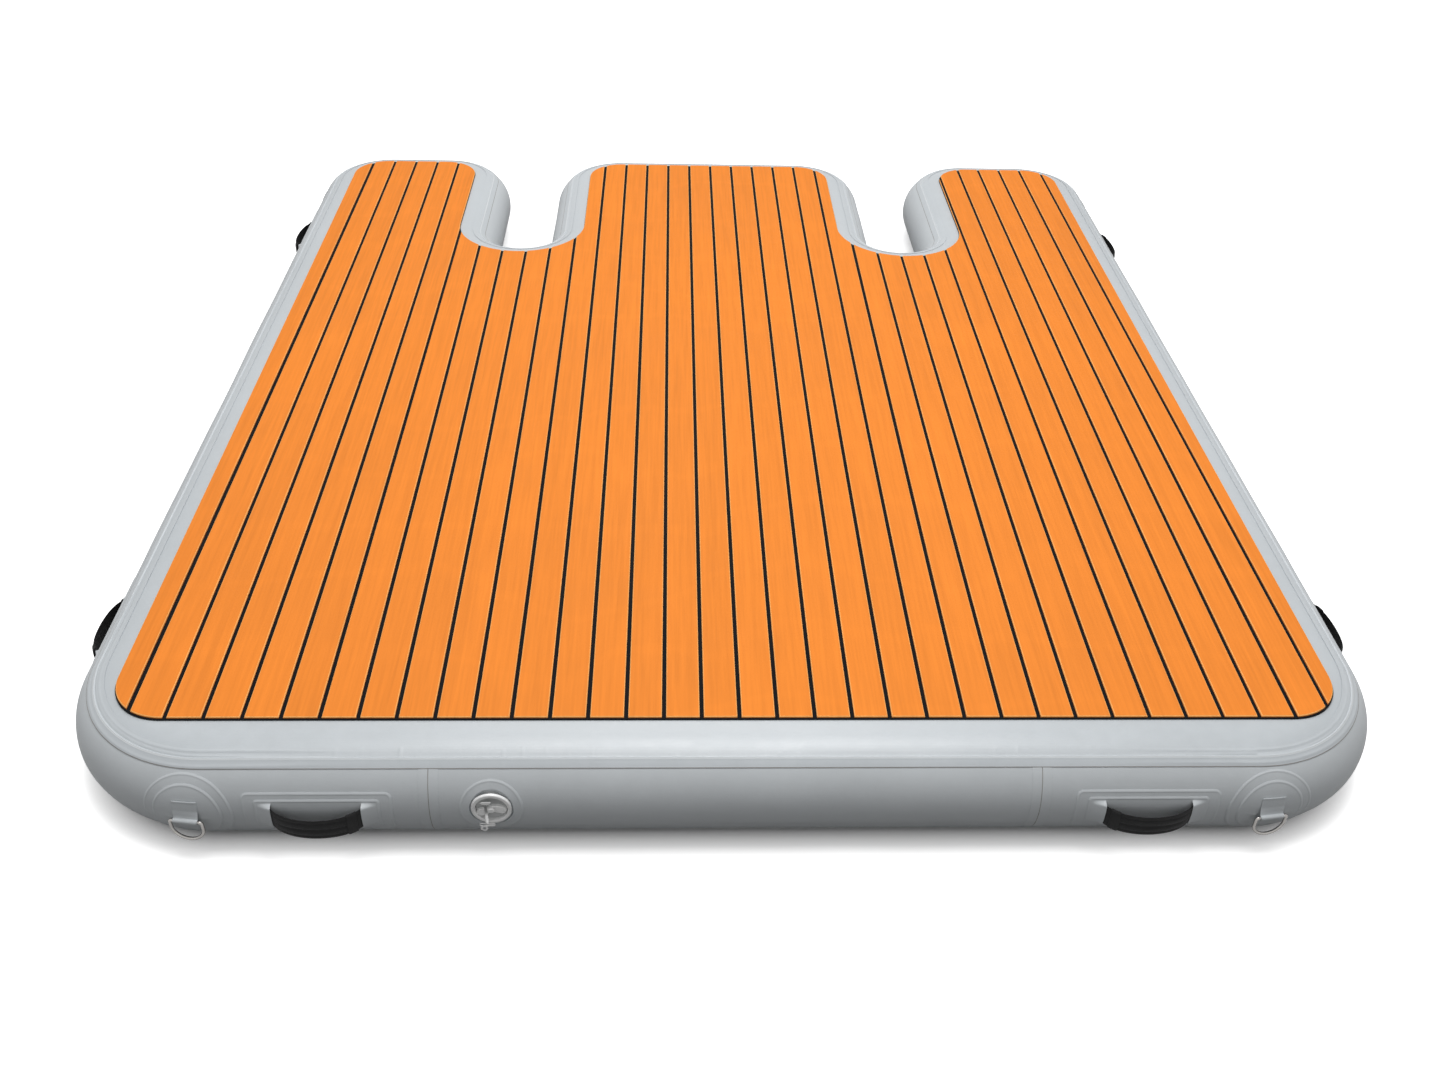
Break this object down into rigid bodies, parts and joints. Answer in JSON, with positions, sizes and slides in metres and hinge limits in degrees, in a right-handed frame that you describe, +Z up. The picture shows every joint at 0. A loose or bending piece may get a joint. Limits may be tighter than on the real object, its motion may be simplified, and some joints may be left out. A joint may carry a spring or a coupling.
{
  "type": "inflatable dock platform",
  "caption": "Inflatable swim and dock platform: planked foam deck, deep slots in one end, webbing handles, hinged mooring rings and a screw-capped air valve",
  "frame": {"origin": "centre of the flat underside, half way between the two sides and between the two ends", "axes": "+Z up through the deck, +Y along the planks towards the end with the slots, +X to the right as seen from the valve end"},
  "size_m": [2.5078, 2.7946, 0.2095],
  "materials": {
    "air_chamber": "satin coated drop-stitch fabric, light grey",
    "cap_strip": "flexible moulded strip, white",
    "deck_pad": "brushed closed-cell foam, orange over a dark sheet",
    "handle_base_front_left": "coated fabric patch, light grey",
    "handle_base_front_right": "coated fabric patch, light grey",
    "handle_base_left_far": "coated fabric patch, light grey",
    "handle_base_left_near": "coated fabric patch, light grey",
    "handle_base_right_far": "coated fabric patch, light grey",
    "handle_base_right_near": "coated fabric patch, light grey",
    "handle_cover_front_left": "coated fabric patch, light grey",
    "handle_cover_front_right": "coated fabric patch, light grey",
    "handle_cover_left_far": "coated fabric patch, light grey",
    "handle_cover_left_near": "coated fabric patch, light grey",
    "handle_cover_right_far": "coated fabric patch, light grey",
    "handle_cover_right_near": "coated fabric patch, light grey",
    "handle_strap_front_left": "padded webbing, black",
    "handle_strap_front_right": "padded webbing, black",
    "handle_strap_left_far": "padded webbing, black",
    "handle_strap_left_near": "padded webbing, black",
    "handle_strap_right_far": "padded webbing, black",
    "handle_strap_right_near": "padded webbing, black",
    "joint_cover_front_left": "satin coated fabric strip, grey",
    "joint_cover_front_right": "satin coated fabric strip, grey",
    "joint_cover_rear_left": "satin coated fabric strip, grey",
    "joint_cover_rear_right": "satin coated fabric strip, grey",
    "mooring_ring_front_left": "polished stainless wire",
    "mooring_ring_front_right": "polished stainless wire",
    "mooring_ring_rear_left": "polished stainless wire",
    "mooring_ring_rear_right": "polished stainless wire",
    "ring_disc_front_left": "coated fabric patch, light grey",
    "ring_disc_front_right": "coated fabric patch, light grey",
    "ring_disc_rear_left": "coated fabric patch, light grey",
    "ring_disc_rear_right": "coated fabric patch, light grey",
    "ring_patch_front_left": "coated fabric patch, light grey",
    "ring_patch_front_right": "coated fabric patch, light grey",
    "ring_patch_rear_left": "coated fabric patch, light grey",
    "ring_patch_rear_right": "coated fabric patch, light grey",
    "ring_tab_front_left": "webbing tab, grey",
    "ring_tab_front_right": "webbing tab, grey",
    "ring_tab_rear_left": "webbing tab, grey",
    "ring_tab_rear_right": "webbing tab, grey",
    "seam_tape_bottom": "satin coated fabric tape, grey",
    "seam_tape_top": "satin coated fabric tape, grey",
    "side_wall_front": "satin coated fabric, light grey",
    "side_wall_left": "satin coated fabric, light grey",
    "side_wall_rear": "satin coated fabric, light grey",
    "side_wall_right": "satin coated fabric, light grey",
    "valve_body": "moulded, white",
    "valve_cap": "moulded, white",
    "valve_gasket": "soft seal, grey",
    "valve_nut": "moulded, white",
    "valve_patch": "coated fabric patch, light grey",
    "valve_poppet": "moulded seal, grey",
    "valve_spring": "drawn stainless wire"
  },
  "bodies": {
    "dock": {"air_chamber": "air_chamber", "deck_pad": "deck_pad", "handle_base_front_left": "handle_base_front_left", "handle_base_front_right": "handle_base_front_right", "handle_base_left_far": "handle_base_left_far", "handle_base_left_near": "handle_base_left_near", "handle_base_right_far": "handle_base_right_far", "handle_base_right_near": "handle_base_right_near", "handle_cover_front_left": "handle_cover_front_left", "handle_cover_front_right": "handle_cover_front_right", "handle_cover_left_far": "handle_cover_left_far", "handle_cover_left_near": "handle_cover_left_near", "handle_cover_right_far": "handle_cover_right_far", "handle_cover_right_near": "handle_cover_right_near", "joint_cover_front_left": "joint_cover_front_left", "joint_cover_front_right": "joint_cover_front_right", "joint_cover_rear_left": "joint_cover_rear_left", "joint_cover_rear_right": "joint_cover_rear_right", "ring_disc_front_left": "ring_disc_front_left", "ring_disc_front_right": "ring_disc_front_right", "ring_disc_rear_left": "ring_disc_rear_left", "ring_disc_rear_right": "ring_disc_rear_right", "ring_patch_front_left": "ring_patch_front_left", "ring_patch_front_right": "ring_patch_front_right", "ring_patch_rear_left": "ring_patch_rear_left", "ring_patch_rear_right": "ring_patch_rear_right", "ring_tab_front_left": "ring_tab_front_left", "ring_tab_front_right": "ring_tab_front_right", "ring_tab_rear_left": "ring_tab_rear_left", "ring_tab_rear_right": "ring_tab_rear_right", "seam_tape_bottom": "seam_tape_bottom", "seam_tape_top": "seam_tape_top", "side_wall_front": "side_wall_front", "side_wall_left": "side_wall_left", "side_wall_rear": "side_wall_rear", "side_wall_right": "side_wall_right", "valve_body": "valve_body", "valve_gasket": "valve_gasket", "valve_nut": "valve_nut", "valve_patch": "valve_patch", "valve_spring": "valve_spring"},
    "strap_front_left": {"handle_strap_front_left": "handle_strap_front_left"},
    "strap_front_right": {"handle_strap_front_right": "handle_strap_front_right"},
    "strap_left_near": {"handle_strap_left_near": "handle_strap_left_near"},
    "strap_left_far": {"handle_strap_left_far": "handle_strap_left_far"},
    "strap_right_near": {"handle_strap_right_near": "handle_strap_right_near"},
    "strap_right_far": {"handle_strap_right_far": "handle_strap_right_far"},
    "ring_front_left": {"mooring_ring_front_left": "mooring_ring_front_left"},
    "ring_front_right": {"mooring_ring_front_right": "mooring_ring_front_right"},
    "ring_rear_left": {"mooring_ring_rear_left": "mooring_ring_rear_left"},
    "ring_rear_right": {"mooring_ring_rear_right": "mooring_ring_rear_right"},
    "poppet": {"valve_poppet": "valve_poppet"},
    "cap_strip": {"cap_strip": "cap_strip"},
    "cap": {"valve_cap": "valve_cap"}
  },
  "joints": [
    {"name": "strap_swing_front_left", "type": "hinge", "parent": "dock", "child": "strap_front_left", "pos_m": [-0.7255, -1.3841, 0.1016], "axis": [-1, 0, 0], "range_deg": [-35, 35], "stiffness_Nm_per_rad": 0.02},
    {"name": "strap_swing_front_right", "type": "hinge", "parent": "dock", "child": "strap_front_right", "pos_m": [0.7255, -1.3841, 0.1016], "axis": [-1, 0, 0], "range_deg": [-35, 35], "stiffness_Nm_per_rad": 0.02},
    {"name": "strap_swing_left_near", "type": "hinge", "parent": "dock", "child": "strap_left_near", "pos_m": [-1.2316, -0.9, 0.1016], "axis": [0, 1, 0], "range_deg": [-35, 35], "stiffness_Nm_per_rad": 0.02},
    {"name": "strap_swing_left_far", "type": "hinge", "parent": "dock", "child": "strap_left_far", "pos_m": [-1.2316, 0.9, 0.1016], "axis": [0, 1, 0], "range_deg": [-35, 35], "stiffness_Nm_per_rad": 0.02},
    {"name": "strap_swing_right_near", "type": "hinge", "parent": "dock", "child": "strap_right_near", "pos_m": [1.2316, -0.9, 0.1016], "axis": [0, -1, 0], "range_deg": [-35, 35], "stiffness_Nm_per_rad": 0.02},
    {"name": "strap_swing_right_far", "type": "hinge", "parent": "dock", "child": "strap_right_far", "pos_m": [1.2316, 0.9, 0.1016], "axis": [0, -1, 0], "range_deg": [-35, 35], "stiffness_Nm_per_rad": 0.02},
    {"name": "ring_swing_front_left", "type": "hinge", "parent": "dock", "child": "ring_front_left", "pos_m": [-0.95089, -1.3798, 0.095], "axis": [-0.9914, 0.1305, 0], "range_deg": [-20, 190]},
    {"name": "ring_swing_front_right", "type": "hinge", "parent": "dock", "child": "ring_front_right", "pos_m": [0.95089, -1.3798, 0.095], "axis": [-0.9914, -0.1305, 0], "range_deg": [-20, 190]},
    {"name": "ring_swing_rear_left", "type": "hinge", "parent": "dock", "child": "ring_rear_left", "pos_m": [-0.92675, 1.3836, 0.095], "axis": [1, 0, 0], "range_deg": [-20, 190]},
    {"name": "ring_swing_rear_right", "type": "hinge", "parent": "dock", "child": "ring_rear_right", "pos_m": [0.92675, 1.3836, 0.095], "axis": [1, 0, 0], "range_deg": [-20, 190]},
    {"name": "poppet_press", "type": "slide", "parent": "dock", "child": "poppet", "axis": [0, 1, 0], "range_m": [0, 0.005], "stiffness_N_per_m": 30, "deforming": ["valve_spring"]},
    {"name": "cap_lift", "type": "slide", "parent": "dock", "child": "cap_strip", "axis": [0, -1, 0], "range_m": [0, 0.006]},
    {"name": "cap_twist", "type": "hinge", "parent": "cap_strip", "child": "cap", "pos_m": [-0.427, -1.3723, 0.1136], "axis": [0, -1, 0], "range_deg": [0, 540]}
  ],
  "couplings": [
    {"joint": "cap_twist", "follows": "cap_lift", "rad_per_m": 1570.8}
  ]
}
